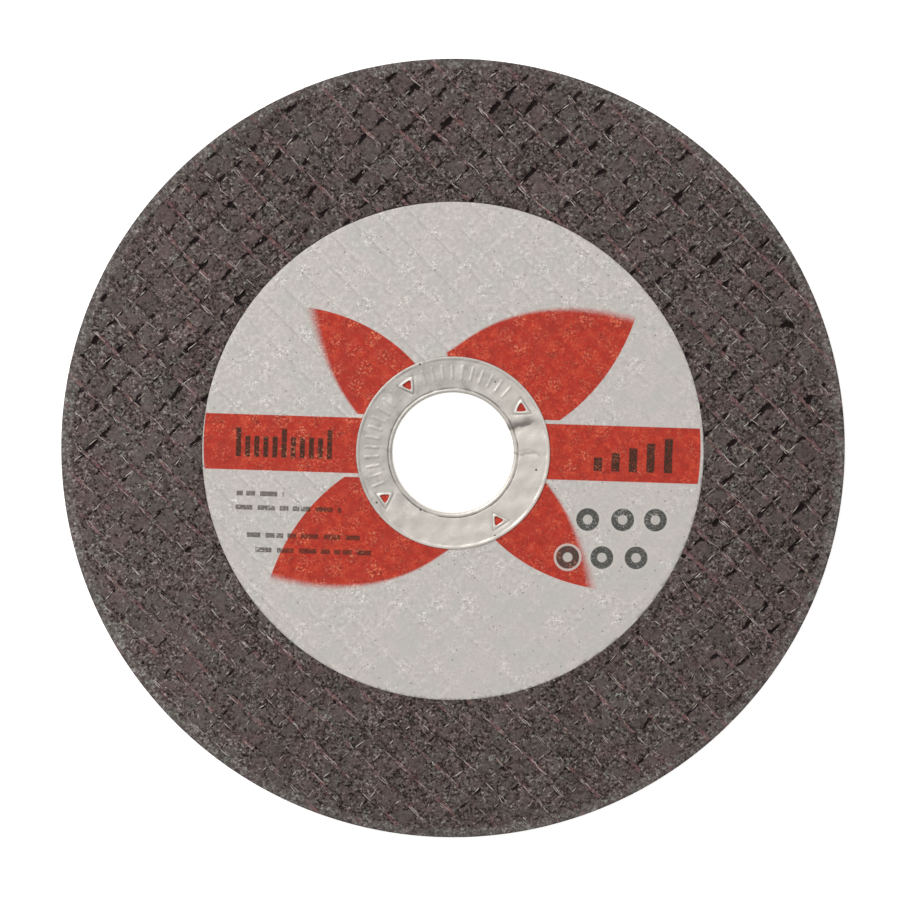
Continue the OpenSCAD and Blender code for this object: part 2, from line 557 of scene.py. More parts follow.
def trim(x, y, fields, inner_r, outer_r):
    """Points, fields and faces of a grid between two circles."""
    rows, columns = x.shape
    x, y, r = (values.ravel() for values in snapped(x, y, (inner_r, outer_r)))
    ids = np.arange(rows * columns).reshape(rows, columns)
    quads = np.stack([ids[:-1, :-1], ids[1:, :-1], ids[1:, 1:], ids[:-1, 1:]], -1).reshape(-1, 4)
    kept = (r <= outer_r + ON_CIRCLE) & (r >= inner_r - ON_CIRCLE)
    inside = kept[quads].sum(1)
    faces = quads[inside == 4].tolist()
    points = np.stack([x, y], 1)
    cuts = {}

    def cut(p, q):
        radius = outer_r if r[q] > outer_r else inner_r
        if abs(r[p] - radius) < ON_CIRCLE:
            return p
        if (p, q) not in cuts:
            cuts[p, q] = (len(r) + len(cuts), crossing(points[p], points[q], radius))
        return cuts[p, q][0]

    def on_circle(p):
        return p >= len(r) or min(abs(r[p] - inner_r), abs(r[p] - outer_r)) < ON_CIRCLE

    for quad in quads[(inside > 0) & (inside < 4)].tolist():
        outline = []
        for p, q in zip(quad, quad[1:] + quad[:1]):
            if kept[p]:
                outline.append(p)
            if kept[p] and not kept[q]:
                outline.append(cut(p, q))
            if kept[q] and not kept[p]:
                outline.append(cut(q, p))
        outline = list(dict.fromkeys(outline))
        if len(outline) > 2 and not all(on_circle(p) for p in outline):
            faces.append(outline)

    start, stop = np.array(list(cuts), int).reshape(-1, 2).T
    share = np.array([part for _, part in cuts.values()])
    points = np.vstack([points, points[start] + (points[stop] - points[start]) * share[:, None]])
    used = np.unique(np.concatenate([np.array(face) for face in faces]))
    renumber = np.full(len(points), -1)
    renumber[used] = np.arange(len(used))
    kept_fields = {}
    for name, values in fields.items():
        v = values.ravel()
        kept_fields[name] = np.concatenate([v, v[start] + (v[stop] - v[start]) * share])[used]
    return points[used], kept_fields, [renumber[face].tolist() for face in faces]


# %% [markdown]
# Every piece of the wheel has a closed skin, as a real body has. It is gathered from grids and circles of
# points: the cut edge of a grid is zipped to a circle, and that to the next, until nothing is open. The
# numbers that a finish needs, such as how much painted shade a place gets near a gap or a thread, are
# stored at the points.

# %% A skin that is put together from grids and circles
FIELDS = ("gap", "tone", "smooth", "thread", "rim", "dye")


class Skin:
    """Points, fields and faces that are gathered and then made into one closed mesh."""

    def __init__(self):
        self.points = np.zeros((0, 3))
        self.fields = {name: np.zeros(0) for name in FIELDS}
        self.faces = []

    def add(self, points, faces=(), fields=None):
        """Adds points and their faces, and returns the new points' numbers."""
        first = len(self.points)
        self.points = np.vstack([self.points, points])
        for name in FIELDS:
            values = np.broadcast_to((fields or {}).get(name, 0.0), len(points))
            self.fields[name] = np.concatenate([self.fields[name], values])
        self.faces += [[first + k for k in face] for face in faces]
        return np.arange(first, len(self.points))

    def circle(self, radius, z, count, fields=None):
        """Adds a circle of points, in order of angle."""
        turn = np.linspace(-math.pi, math.pi, count, endpoint=False)
        points = np.stack([radius * np.cos(turn), radius * np.sin(turn), np.full(count, z)], 1)
        return self.add(points, fields=fields)

    def edge(self, ids, radius):
        """The points among these that lie on a circle, in order of angle."""
        x, y = self.points[ids, 0], self.points[ids, 1]
        on = np.abs(np.hypot(x, y) - radius) < ON_CIRCLE
        return ids[on][np.argsort(np.arctan2(y[on], x[on]))]

    def zip_two(self, one, other):
        """Joins two closed rows of points with triangles, by angle."""
        turn = [np.arctan2(self.points[ids, 1], self.points[ids, 0]) for ids in (one, other)]
        turn = [np.append(t, t[0] + 2 * math.pi) for t in turn]
        i = j = 0
        while i < len(one) or j < len(other):
            here, there = one[i % len(one)], other[j % len(other)]
            if j == len(other) or (i < len(one) and turn[0][i + 1] <= turn[1][j + 1]):
                i += 1
                self.faces.append([here, one[i % len(one)], there])
            else:
                j += 1
                self.faces.append([here, other[j % len(other)], there])

    def zip_rows(self, *rows):
        """Joins closed rows of points, each to the next."""
        for one, other in zip(rows, rows[1:]):
            self.zip_two(one, other)

    def piece(self, name, finish):
        """Makes the mesh and its object, with all faces looking outwards."""
        mesh = bpy.data.meshes.new(name)
        faces = [[int(k) for k in face] for face in self.faces]
        mesh.from_pydata((self.points * MM).tolist(), [], faces)
        for field, values in self.fields.items():
            if np.any(values):
                stored = mesh.attributes.new(field, "FLOAT", "POINT")
                stored.data.foreach_set("value", values.astype(np.float32))
        settle(mesh)
        return make_piece(name, mesh, finish)


def settle(mesh):
    """Turns all faces outwards, shades them smoothly, and says how well the mesh is closed."""
    work = bmesh.new()
    work.from_mesh(mesh)
    bmesh.ops.recalc_face_normals(work, faces=work.faces)
    loose = sum(not edge.is_manifold for edge in work.edges)
    triangles = sum(len(face.verts) - 2 for face in work.faces)
    for face in work.faces:
        face.smooth = True
    work.to_mesh(mesh)
    work.free()
    print(f"{mesh.name}: {triangles} triangles, {loose} open edges")


def make_piece(name, mesh, finish):
    """An object for a mesh, with its finish, that goes with the wheel."""
    piece = bpy.data.objects.new(name, mesh)
    bpy.context.scene.collection.objects.link(piece)
    mesh.materials.clear()
    mesh.materials.append(finish)
    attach(piece, "root")
    return piece


# %% [markdown]
# A finish is painted in layers. Each layer has a mask, a wire that is 0 where the layer is left out and 1
# where it covers, so the masks can be drawn one by one and looked at alone. Some layers cover what is
# under them, like ink, and some only tint it.


# %% Masks, layers and tints
def largest(*masks):
    """The highest of several masks at each place."""
    highest = masks[0]
    for mask in masks[1:]:
        highest = highest.math("MAXIMUM", mask)
    return highest


def layered(colour, *layers):
    """A colour with others laid over it in turn, each through its own mask."""
    for mask, over in layers:
        colour = mask.mix(colour, over)
    return colour


def tinted(colour, *tints):
    """A colour that is multiplied by other colours in turn, each through its own mask."""
    blend = {"data_type": "RGBA", "blend_type": "MULTIPLY"}
    for mask, tint in tints:
        sockets = {"Factor": mask, "A": colour, "B": tint}
        colour = mask.node("ShaderNodeMix", blend, sockets, out="Result")
    return colour


# %% [markdown]
# Abrasive is grit, resin and the holes between them. The grains of this grade are about a quarter of a
# millimetre across, so each is a pixel or two in the photograph: most are brown-grey, some catch the light
# and some are pits. Squares that were pressed hard against the mould look smooth and even. The gaps are
# painted almost black as painted shade, and the rim, which was trued after moulding, is a little lighter
# and greyer. The left side, towards the lamp, is painted a little lighter too, as painted light. First
# comes one number, how light the stone is, and a ramp turns it into a colour.

# %% Finish of the abrasive: grains
abrasive, at = new_finish("abrasive")

grain = at.grains(3.0).part("X")
fine = at.noise(3.8, 3.0, 0.65)
coarse = at.noise(0.75, 4.0, 0.6)
even = (coarse + at.field("smooth") * 0.14).rise(0.56, 0.64)
trued = (at.field("rim") + (coarse - 0.5) * 0.9).rise(0.3, 0.7)
liveliness = (1 - 0.66 * even * (1 - trued)) * (1 - 0.28 * trued)
speckle = (grain - 0.5) * 0.44 + (fine - 0.5) * 1.62
level = 0.475 + speckle * liveliness + at.field("tone") * 0.02 + (coarse - 0.5) * 0.2
# Painted light: the left side, towards the lamp, is made a little paler.
lamp_side_light = (at.part("X") * -0.99 - at.part("Y") * 0.12).rise(22.0, 46.0)
level = level + trued * 0.12 + lamp_side_light * 0.055

stone_stops = [
    (0.06, srgb(14, 9, 9)),
    (0.27, srgb(50, 41, 39)),
    (0.47, srgb(85, 73, 71)),
    (0.68, srgb(109, 97, 94)),
    (1.00, srgb(174, 165, 160)),
]
stone = level.node("ShaderNodeValToRGB", {"stops": stone_stops}, {"Fac": level}, out="Color")
print(f"abrasive: a ramp of {len(stone_stops)} colours")

# %% [markdown]
# Over the grains lie slow changes of tint, a trace of red dye along some threads, painted shade in the
# pits between the grains, and painted shade in the gaps, in the seams and on the flanks of the threads.
# Noise on the edge of each mask makes it as ragged as broken stone.

# %% Finish of the abrasive: tints, and painted shade in pits and gaps
patch = at.noise(0.33, 3.0, 0.6)
greenish = at.noise(0.6, 2.0).rise(0.5, 0.66) * (1 - even) * grain * 0.45
stone = tinted(
    stone,
    (largest(patch.rise(0.46, 0.62), trued * 0.7), (0.91, 1.0, 0.96)),
    (patch.fall(0.36, 0.5), (1.03, 0.97, 0.99)),
    (trued, (0.98, 1.01, 1.04)),
    (greenish, (0.76, 0.96, 0.84)),
)

dye_places = at.noise(0.24, 2.0).rise(0.44, 0.58) * at.field("thread")
dyed = dye_places * at.noise(0.9, 4.0, 0.65).rise(0.4, 0.6)
# Painted shade: the pits between the grains are painted near-black.
from_pit = at.grains(1.7, out="Distance") + (fine - 0.5) * 0.5
pit_shade = from_pit.fall(0.14, 0.32) * at.grains(1.7).part("Y").rise(0.62, 0.68)
pit_shade = pit_shade * (1 - even) * (1 - 0.6 * trued)
# Painted shade: the gaps, seams and thread flanks are painted near-black through this mask.
ragged_shade = at.field("gap") + (fine - 0.5) * 0.9 + (at.noise(1.5, 2.0) - 0.5) * 1.3
hollow = ragged_shade.rise(0.40, 0.52)
stone = layered(
    stone,
    (dyed * 0.62, srgb(136, 93, 93)),
    (pit_shade * 0.9, srgb(22, 14, 13)),
    (hollow, srgb(18, 6, 6)),
)

dress(abrasive, {
    "Base Color": stone,
    "Roughness": 0.88 - 0.2 * even,
    "Specular IOR Level": 0.22,
    "Normal": bump(grain * 0.5 + fine * 1.1 - hollow * 0.7 - pit_shade * 0.5, 0.6, 0.11),
})

# %% [markdown]
# Each face of the disc starts as a grid in the mesh's directions. The front has lines on every edge of its
# threads and gaps. The back needs fewer, because it is met less often. Every point is shaken a little, as
# grit would, and towards the rim the weave fades out.

# %% One woven face
FRONT_ALONG = (-0.62, -0.36, -0.22, -0.08, 0.08, 0.22, 0.36, 0.62, 1.02, 1.46, 1.92)
FRONT_ACROSS = (-0.34, -0.2, 0.0, 0.2, 0.34, 0.6, 0.95, 1.3, 1.65, 2.0, 2.4)
BACK_ALONG = (-0.24, -0.12, 0.12, 0.24, 1.6)
BACK_ACROSS = (-0.33, 0.0, 0.33, 1.25, 1.925)
GRID_MARGIN = 1.0
GRIT_ASIDE = 0.016
GRIT_UP = 0.008
WEAVE_FADES = (0.3, 1.6)
RELIEF_AT_RIM = 0.25
TRUED_FADES = (0.4, 2.2)


def woven_face(weave, along_marks, across_marks, inner_r):
    """One face of the disc: its points, what it stores at them, and its faces."""
    lines = [stations(marks, WHEEL_R + GRID_MARGIN) for marks in (along_marks, across_marks)]
    along, across = np.meshgrid(*lines, indexing="ij")
    fields = weave.relief(along, across)
    shake = weave.random.normal(0, GRIT_ASIDE, (2, *along.shape))
    x, y = on_wheel(*drift(along, across))
    fields["height"] = fields["height"] + weave.random.normal(0, GRIT_UP, along.shape)
    points, fields, faces = trim(x + shake[0], y + shake[1], fields, inner_r, WHEEL_R)
    from_rim = WHEEL_R - np.hypot(*points.T)
    woven = step_up(from_rim, *WEAVE_FADES)
    fields["height"] = fields["height"] * (RELIEF_AT_RIM + (1 - RELIEF_AT_RIM) * woven)
    fields["gap"] = fields["gap"] * woven
    fields["rim"] = 1 - step_up(from_rim, *TRUED_FADES)
    return points, fields, faces


# %% [markdown]
# The disc itself is one skin: the woven front between the label's seat and the rim, the woven back, and
# the rim, hole and seat that join them. The rim is a few rough circles, set in a little, because truing
# tears out grains.

# %% The abrasive disc
BACK_FLATTENED = 0.5
RIM_POINTS = 1100
RIM_SHARES = (0.88, 0.66, 0.44, 0.22)
RIM_ROUGH = 0.018
RIM_SET_IN = 0.02
RIM_TRUED = 0.8
ROUND_POINTS = 192


def build_disc():
    """The whole disc, closed all round."""
    disc = Skin()
    points, fields, faces = woven_face(front_weave, FRONT_ALONG, FRONT_ACROSS, SEAT_R)
    front = disc.add(np.column_stack([points, FRONT_Z + fields["height"]]), faces, fields)
    points, fields, faces = woven_face(back_weave, BACK_ALONG, BACK_ACROSS, HOLE_R)
    standing = fields["height"] * np.where(fields["height"] > 0, BACK_FLATTENED, 1.0)
    back = disc.add(np.column_stack([points, np.maximum(BACK_Z - standing, 0.0)]), faces, fields)

    rim = []
    for share in RIM_SHARES:
        rough = front_weave.random.normal(0, RIM_ROUGH, RIM_POINTS) - RIM_SET_IN
        rim.append(disc.circle(WHEEL_R + rough, WHEEL_T * share, RIM_POINTS, {"rim": RIM_TRUED}))
    disc.zip_rows(disc.edge(front, WHEEL_R), *rim, disc.edge(back, WHEEL_R))
    disc.zip_rows(
        disc.edge(back, HOLE_R),
        disc.circle(HOLE_R, SEAT_Z - BEND_INSIDE_R, ROUND_POINTS),
        disc.circle(HOLE_R + BEND_INSIDE_R, SEAT_Z, ROUND_POINTS),
        disc.circle(SEAT_R, SEAT_Z, ROUND_POINTS),
        disc.edge(front, SEAT_R),
    )
    return disc.piece("abrasive_disc_skin", abrasive)


disc = build_disc()
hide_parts("abrasive_disc")

# %% [markdown]
# Here and there a thread of the glass mesh breaks through the resin. It shows as a thin pale sliver: some
# are bare glass, some took up red dye with the resin, and most are partly covered by it. One number stored
# with each sliver says how much dye it has, so that one finish serves them all.

# %% Finish of the glass threads
glass, at = new_finish("glass_thread")
dye = at.field("dye") + (at.noise(1.1, 2.0) - 0.5) * 1.3
bare_glass = at.noise(3.0, 3.0).mix(srgb(140, 129, 123), srgb(232, 224, 216))
dyed_glass = at.noise(2.2, 2.0).mix(srgb(126, 64, 66), srgb(186, 148, 147))
covered = at.noise(1.2, 3.0, 0.6).fall(0.38, 0.52)
dress(glass, {
    "Base Color": layered(bare_glass, (dye.rise(0.35, 0.8), dyed_glass), (covered, srgb(84, 73, 71))),
    "Roughness": 0.35 + 0.3 * at.noise(4.0),
    "Normal": bump(at.noise(9.0, 2.0), 0.3, 0.05),
})

# %% [markdown]
# Each sliver is a slim tapered tube that rises out of the face and dips back into it. They could be
# painted on the face, but they stand up from it and cast a shadow, so they are meshes.

# %% One sliver of glass thread
SLIVER_SIDES = 5
SLIVER_STEP = 0.4
SLIVER_LIFT = 0.13
SLIVER_SUNK = 0.07
SLIVER_SWAY = 0.07
SLIVER_FRAY = 0.025
ANY_PHASE = 6.3


def sliver_path(draw, start, stop, base_z, outward):
    """Points of a sliver between two places on the mesh, humped out of the face."""
    length = math.dist(start, stop)
    share = np.linspace(0, 1, max(4, math.ceil(length / SLIVER_STEP)))
    along = start[0] + (stop[0] - start[0]) * share
    across = start[1] + (stop[1] - start[1]) * share
    sway = SLIVER_SWAY * np.sin(share * length * 2.1 + draw.uniform(0, ANY_PHASE))
    sway = sway + draw.normal(0, SLIVER_FRAY, len(share))
    x, y = on_wheel(*drift(along + sway, across + sway))
    hump = SLIVER_LIFT * np.sin(math.pi * share) - SLIVER_SUNK
    return np.column_stack([x, y, base_z + outward * hump])


def add_sliver(yarns, path, thickness, dye):
    """Adds one tapered tube along a path of points."""
    count = len(path)
    share = np.linspace(0, 1, count)
    radius = thickness / 2 * np.sqrt(np.clip(1 - (2 * share - 1) ** 4, 0.05, 1))
    ahead = np.gradient(path, axis=0)
    ahead = ahead / np.linalg.norm(ahead, axis=1, keepdims=True)
    side = np.cross(ahead, [0, 0, 1.0])
    side = side / np.linalg.norm(side, axis=1, keepdims=True)
    up = np.cross(side, ahead)
    turn = np.arange(SLIVER_SIDES) * 2 * math.pi / SLIVER_SIDES
    ring = side[:, None] * np.cos(turn)[:, None] + up[:, None] * np.sin(turn)[:, None]
    points = (path[:, None] + radius[:, None, None] * ring).reshape(-1, 3)
    faces = []
    for k in range(count - 1):
        for n in range(SLIVER_SIDES):
            m = (n + 1) % SLIVER_SIDES
            low, high = k * SLIVER_SIDES, (k + 1) * SLIVER_SIDES
            faces.append([low + n, low + m, high + m, high + n])
    faces.append(list(range(SLIVER_SIDES)))
    faces.append([(count - 1) * SLIVER_SIDES + n for n in range(SLIVER_SIDES)])
    yarns.add(points, faces, {"dye": dye})


# %% [markdown]
# The slivers follow the threads that lie on the face, sometimes two side by side. Others follow the
# crossing threads, at the end of a gap or beside it. Their places, lengths and dye are drawn at random
# from the weave's own seeded numbers.

# %% All the slivers
THREAD_TOP = 0.9 * THREAD_PROUD
SECOND_TOP = THREAD_TOP - 0.02
CROSSING_TOP = 0.02
SLIVER_FROM_MIDDLE = 0.5
SLIVER_FROM_RIM = 1.1


def thread_slivers(draw):
    """Slivers along the threads: their ends, thickness, dye and height over the face."""
    for thread in range(-THREADS_EACH_SIDE, THREADS_EACH_SIDE + 1):
        along = -WHEEL_R
        while along < WHEEL_R:
            along += draw.uniform(0.1, 1.8)
            length = draw.uniform(0.6, 3.4)
            across = thread * THREAD_PITCH + draw.normal(0, 0.11)
            dye = 0.66 * draw.random()
            thickness = draw.uniform(0.06, 0.13)
            far_end = (along + length, across + draw.normal(0, 0.07))
            yield ((along, across), far_end), thickness, dye, THREAD_TOP
            if draw.random() < 0.35:
                beside = across + draw.choice([-1, 1]) * draw.uniform(0.16, 0.24)
                first = along + draw.uniform(0.0, 0.5) * length
                yield ((first, beside), (along + length, beside)), thickness, dye, SECOND_TOP
            along += length


def crossing_slivers(weave):
    """Slivers along the crossing threads: their ends, thickness, dye and height over the face."""
    draw = weave.random
    start = THREAD_W / 2 + GAP_FROM_THREAD
    for spot in np.ndindex(weave.length.shape):
        if draw.random() > 0.75:
            continue
        thread, row = (k - TABLE_MIDDLE for k in spot)
        way = 1 if row % 2 == 0 else -1
        if draw.random() < 0.55:
            beside = row * THREAD_PITCH + draw.normal(0, 0.1)
            first = start + weave.length[spot] * draw.uniform(0.6, 1.0)
        else:
            beside = row * THREAD_PITCH + draw.choice([0.22, 0.22, -0.22]) + draw.normal(0, 0.07)
            first = start + draw.uniform(-0.2, 0.9)
        last = first + draw.uniform(0.6, 1.8)
        places = [thread * THREAD_PITCH + way * place for place in (first, last)]
        ends = [(beside + draw.normal(0, 0.06), place) for place in places]
        yield ends, draw.uniform(0.06, 0.16), 0.3 * draw.random(), CROSSING_TOP


def build_yarns(name, weave, face_z, outward, inner_r):
    """All the slivers of one face, apart from those that would pass its edges."""
    yarns = Skin()
    for slivers in (thread_slivers(weave.random), crossing_slivers(weave)):
        for ends, thickness, dye, standing in slivers:
            r = [math.hypot(*end) for end in ends]
            if min(r) > inner_r + SLIVER_FROM_MIDDLE and max(r) < WHEEL_R - SLIVER_FROM_RIM:
                path = sliver_path(weave.random, *ends, face_z + outward * standing, outward)
                path[:, 2] = np.maximum(path[:, 2], thickness / 2)
                add_sliver(yarns, path, thickness, dye)
    piece = yarns.piece(name, glass)


build_yarns("glass_threads_front", front_weave, FRONT_Z, 1, SEAT_R)
build_yarns("glass_threads_back", back_weave, BACK_Z, -1, HOLE_R + 1)

# %% [markdown]
# The label is thin paper that was pressed on while the wheel was moulded, so the woven mesh shows through
# it as a faint quilting. A picture could be wrapped on it, but sums on the place stay sharp at any
# distance. The print has its own directions, because it sits a little turned and off centre on the wheel.
# The clusters of painted glints and shade, and of wear in the ink, have the mesh's directions, and a
# chance of their own at each crossing of the threads.

# %% Finish of the label: directions and crossings
PRINT_TURN = math.radians(-1.83)
PRINT_LEFT = 0.12
PRINT_UP = 0.59

label_finish, at = new_finish("printed_paper")
x0, y0 = at.part("X"), at.part("Y")
px, py = turned(x0 + PRINT_LEFT, y0 - PRINT_UP, -PRINT_TURN)
from_middle = (px * px + py * py) ** 0.5

along_mm, across_mm = turned(x0, y0, -THREAD_ANGLE)
along_threads, across_threads = along_mm / THREAD_PITCH, across_mm / THREAD_PITCH
row_number, thread_number = along_threads.math("ROUND"), across_threads.math("ROUND")
from_row = (along_threads - row_number) * THREAD_PITCH
from_thread = (across_threads - thread_number) * THREAD_PITCH
crossing_id = at.node("ShaderNodeCombineXYZ", sockets={"X": row_number, "Y": thread_number})
flat = {"noise_dimensions": "2D"}
chance = at.node("ShaderNodeTexWhiteNoise", flat, {"Vector": crossing_id}, out="Color")
row_shifted = from_row - (chance.part("X") - 0.5) * 1.2
thread_shifted = from_thread - (chance.part("Y") - 0.5) * 1.2
crossing_distance = (row_shifted * row_shifted + thread_shifted * thread_shifted) ** 0.5
cluster = (crossing_distance + (at.noise(1.1, 3.0, 0.6) - 0.5) * 2.8).fall(0.4, 1.7)
cluster = cluster * (0.3 + 0.7 * chance.part("Z"))
print(f"print turned {math.degrees(PRINT_TURN):.2f} degrees, {PRINT_LEFT} mm left and {PRINT_UP} mm up")

# %% [markdown]
# The paper is an uneven warm grey. A painted highlight lies on the crests over the threads and a painted
# shade in their lee and along a line beside them, most of all towards the upper left, the lamp's side.
# Clusters of crinkles in painted light and shade, painted shade in hollows, and painted glints sit at the
# crossings, where the paper was pressed hardest and more on the lamp's side, and a few specks of grit are
# scattered over it.

# %% Finish of the label: paper
LEE_OUT = 0.55
FOLD_OUT = 0.35


def beside_threads(out, near, far):
    """A mask along all the threads, this far out to one side of them."""
    return largest(abs(from_row - out).fall(near, far), abs(from_thread - out).fall(near, far))


upper_left = (y0 - x0).rise(-34.0, 26.0)
# Where the paper was pressed hardest, and more towards the upper left, the lamp's side, where the painted
# glints and shade gather.
pressed_and_lamp_side = (at.noise(0.17, 2.0) + 0.34 * upper_left).rise(0.42, 0.64)
lively = cluster * (0.3 + 0.7 * pressed_and_lamp_side)
stray = at.grains(2.7, out="Distance").fall(0.10, 0.24) * at.grains(2.7).part("Y").rise(0.93, 0.95)
# Painted highlights: the glints at the crossings and a few stray ones.
glints = largest(at.noise(3.2, 3.0, 0.7).rise(0.53, 0.63) * lively, stray * 0.6)
# Painted shade in the hollows of the crinkled paper, on the paper and on the red.
hollow_shade = at.noise(2.5, 3.0, 0.65).rise(0.55, 0.66) * lively
pepper = at.grains(0.8, out="Distance").fall(0.06, 0.10) * at.grains(0.8).part("Z").rise(0.86, 0.88)

mottle = at.noise(0.35, 3.0).rise(0.36, 0.64)
fibre = at.noise(3.6, 3.0, 0.6)
crest_and_lee_light = at.noise(0.7, 3.0, 0.6).rise(0.44, 0.62) * (0.35 + 0.65 * pressed_and_lamp_side)
# Painted highlight on the crests over the threads, and painted shade in their lee.
crest = beside_threads(0.0, 0.06, 0.42) * crest_and_lee_light
lee_shade = beside_threads(LEE_OUT, 0.08, 0.44) * crest_and_lee_light
# Painted shade along a line beside the threads, stronger towards the upper left.
fold_shade = abs(from_thread - FOLD_OUT).fall(0.03, 0.24) * at.noise(0.22, 2.0).rise(0.38, 0.58)
fold_shade = fold_shade * (0.25 + 0.75 * upper_left)
# Painted light and shade of the crinkles: lighter and darker copies of the paper.
crinkle_light_and_shade = at.noise(1.7, 3.0, 0.6)
creased = 0.14 + pressed_and_lamp_side * (0.3 + 0.56 * cluster)
sheet = mottle.mix(srgb(193, 191, 185), srgb(205, 195, 192))
paper = layered(
    fibre.rise(0.3, 0.7).mix(srgb(190, 185, 181), sheet),
    (crinkle_light_and_shade.fall(0.34, 0.5) * creased * 0.7, srgb(172, 166, 161)),
    (crinkle_light_and_shade.rise(0.52, 0.66) * creased * 0.8, srgb(222, 217, 212)),
    (lee_shade * 0.28, srgb(172, 166, 162)),
    (crest * 0.28, srgb(220, 215, 209)),
    (fold_shade * 0.4, srgb(168, 162, 157)),
    (hollow_shade * 0.8, srgb(158, 152, 146)),
)
print(f"paper: {len(label_finish.node_tree.nodes)} nodes so far")

# %% [markdown]
# The print is a plain red band across the middle between two thin pale lines, and curved vanes with
# sprayed edges that sweep round the ring: two on one side of the band, repeated half a turn on. A field of
# print is a mask made of rises and falls that are sharp where the print has a cut edge, and wide where it
# was sprayed.

# %% Finish of the label: red fields
SHARP = 0.06
BAND_HALF = 3.75
LINE_W = 0.5
PRINT_MARGIN = 0.3
PRINT_R = LABEL_R - PRINT_MARGIN
# Each vane: its reach in mm, and its leading edge, tip and trailing edge in degrees
VANES = ((17.5, 14, 38, 96), (14.5, 116, 138, 165))


def inside_of(distance, limit):
    """A mask that ends sharply at a limit."""
    return distance.fall(limit - SHARP, limit + SHARP)


def vane(reach, lead, tip, trail):
    """A curved fin outwards from the ring: a cut edge in front and a sprayed edge behind."""
    lead, tip, trail = math.radians(lead), math.radians(tip), math.radians(trail)
    share = (from_middle - RING_R) / reach
    ahead = (half_turn - (lead + (tip - lead) * share)) * from_middle
    behind = ((trail + (tip - trail) * largest(share, 0.0) ** 0.75) - half_turn) * from_middle
    spray = 0.5 + 1.9 * share.rise(0.1, 1.0)
    return ahead.rise(-SHARP, SHARP) * (behind / spray + spatter * share.rise(0.0, 0.3)).rise(0.0, 1.0)


half_turn = py.math("ARCTAN2", px).math("FLOORED_MODULO", math.pi)
spatter = (at.noise(4.5, 2.0) - 0.5) * 0.5
vanes = largest(*(vane(*sizes) for sizes in VANES))
clear_of_band = abs(py).rise(BAND_HALF + LINE_W - SHARP, BAND_HALF + LINE_W + SHARP)
red = largest(inside_of(abs(py), BAND_HALF), vanes * clear_of_band) * inside_of(from_middle, PRINT_R)
print(f"red fields: a band {2 * BAND_HALF} mm wide and four vanes")

# %% [markdown]
# The red ink is not flat. It lies thinner on the high spots of the paper, where it looks orange, and
# thicker in the hollows, where it is nearly brown. Several noises of different sizes give that.

# %% Finish of the label: red ink
thin = (at.noise(1.6, 3.0, 0.6) + 0.05 * crest).rise(0.45, 0.70)
blotch = at.noise(0.8, 4.0, 0.65)
scratched = at.noise(2.7, 3.0, 0.7).rise(0.57, 0.68)
thick = at.noise(2.0, 3.0, 0.7).fall(0.32, 0.45)
ink = layered(
    thin.mix(srgb(178, 38, 19), srgb(208, 70, 41)),
    (blotch.rise(0.5, 0.66) * 0.6, srgb(142, 31, 18)),
    (blotch.fall(0.32, 0.46) * 0.5, srgb(216, 88, 56)),
    (scratched * (0.3 + 0.5 * lively), srgb(234, 130, 96)),
    (thick * (0.5 + 0.4 * lively), srgb(108, 23, 15)),
    (at.noise(0.3, 3.0).rise(0.42, 0.66) * 0.45, srgb(164, 42, 31)),
    (hollow_shade * 0.75, srgb(112, 28, 21)),
)
print(f"ink: {len(label_finish.node_tree.nodes)} nodes so far")

# %% [markdown]
# Small dark marks fill the free places of the label: a row of upright ticks and a row of rising bars on
# the band, rows of short dashes below it on the left, and plain round spots on the right. They say
# nothing, but give the label its rhythm of dark on pale. Loops place them, so that a row is a few named
# sizes.

# %% Finish of the label: small marks
TICKS_FROM = -28.6
TICKS_COUNT = 11
TICK_STEP = 1.22
TICK_HALF_W = 0.34
TICK_HALF_H = 1.95
SHORT_TICK_HALF_H = 1.4
LONG_TICK_EVERY = 5
BARS_FROM = 19.6
BARS_COUNT = 5
BAR_STEP = 2.35
BAR_HALF_W = 0.55
BAR_HALF_H = 0.9
BAR_GROWTH = 0.35
BARS_FOOT = 2.4
# Each row of dashes: its height on the label, and where it starts and ends
DASH_ROWS = ((-6.9, -29.0, -22.4), (-8.8, -28.8, -14.6), (-12.5, -27.2, -12.0), (-14.5, -26.0, -10.4))
DASH_HALF_H = 0.33
SPOT_R = 1.55
SPOT_CENTRE_R = SPOT_R * 0.42
SPOT_RING_OUT = 0.16
SPOTS = ((18.5, -9.0), (23.2, -8.9), (27.6, -8.8), (16.0, -14.2), (20.6, -14.1), (25.2, -14.0))


def bar(x, y, half_x, half_y):
    """A plain upright or level bar."""
    return inside_of(abs(x), half_x) * inside_of(abs(y), half_y)


marks, spots, rings = [], [], []
for k in range(TICKS_COUNT):
    half_h = TICK_HALF_H if k % LONG_TICK_EVERY == 0 else SHORT_TICK_HALF_H
    tick_x = px - (TICKS_FROM + k * TICK_STEP)
    marks.append(bar(tick_x, py + (TICK_HALF_H - half_h), TICK_HALF_W, half_h))
for k in range(BARS_COUNT):
    half_h = BAR_HALF_H + BAR_GROWTH * k
    marks.append(bar(px - (BARS_FROM + k * BAR_STEP), py + (BARS_FOOT - half_h), BAR_HALF_W, half_h))
for row_y, first, last in DASH_ROWS:
    wave = (px * 4.1 + row_y * 3.0).math("SINE") + (px * 2.3 - row_y).math("SINE") * 0.8
    row = bar(px - (first + last) / 2, py - row_y, (last - first) / 2, DASH_HALF_H)
    marks.append(row * wave.rise(-0.75, -0.5) * 0.8)
for spot_x, spot_y in SPOTS:
    away = ((px - spot_x) ** 2.0 + (py - spot_y) ** 2.0) ** 0.5
    spots.append(inside_of(away, SPOT_R))
    rings.append(inside_of(away, SPOT_CENTRE_R))
    rings.append(abs(away - SPOT_R - SPOT_RING_OUT).fall(0.1, 0.22))
print(f"small marks: {len(marks)} ticks, bars and rows of dashes, and {len(spots)} spots")

